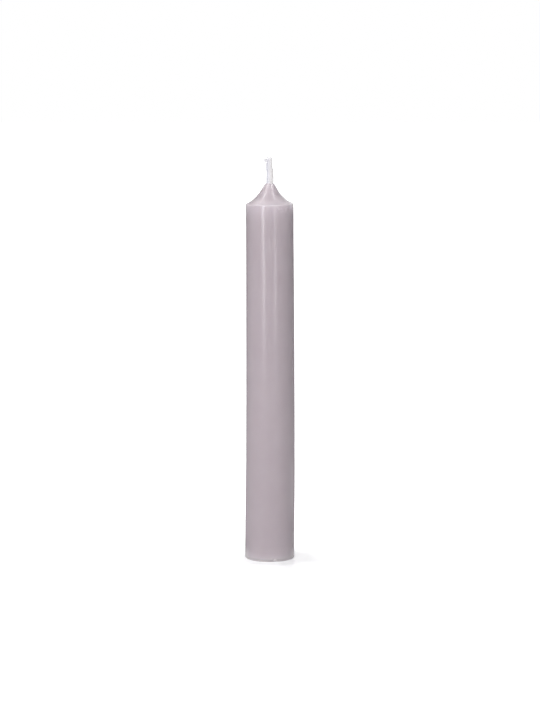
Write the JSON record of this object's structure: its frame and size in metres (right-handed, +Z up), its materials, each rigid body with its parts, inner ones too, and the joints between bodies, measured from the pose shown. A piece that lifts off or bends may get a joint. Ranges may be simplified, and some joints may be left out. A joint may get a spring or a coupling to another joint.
{
  "type": "taper candle",
  "caption": "Slim straight dinner candle with a bell-shaped nose, a waxed plaited wick and a straight foot that seats in a holder cup.",
  "frame": {"origin": "middle of the flat base, on the surface that the candle stands on", "axes": "+Z up along the candle's axis, from the base to the wick; +X to the right and -Y towards the viewer of the picture"},
  "size_m": [0.022, 0.022, 0.1796],
  "materials": {
    "wax": "satin",
    "wick_cotton": "satin"
  },
  "bodies": {
    "root": {"wax_body": "wax", "wick": "wick_cotton"}
  },
  "joints": []
}
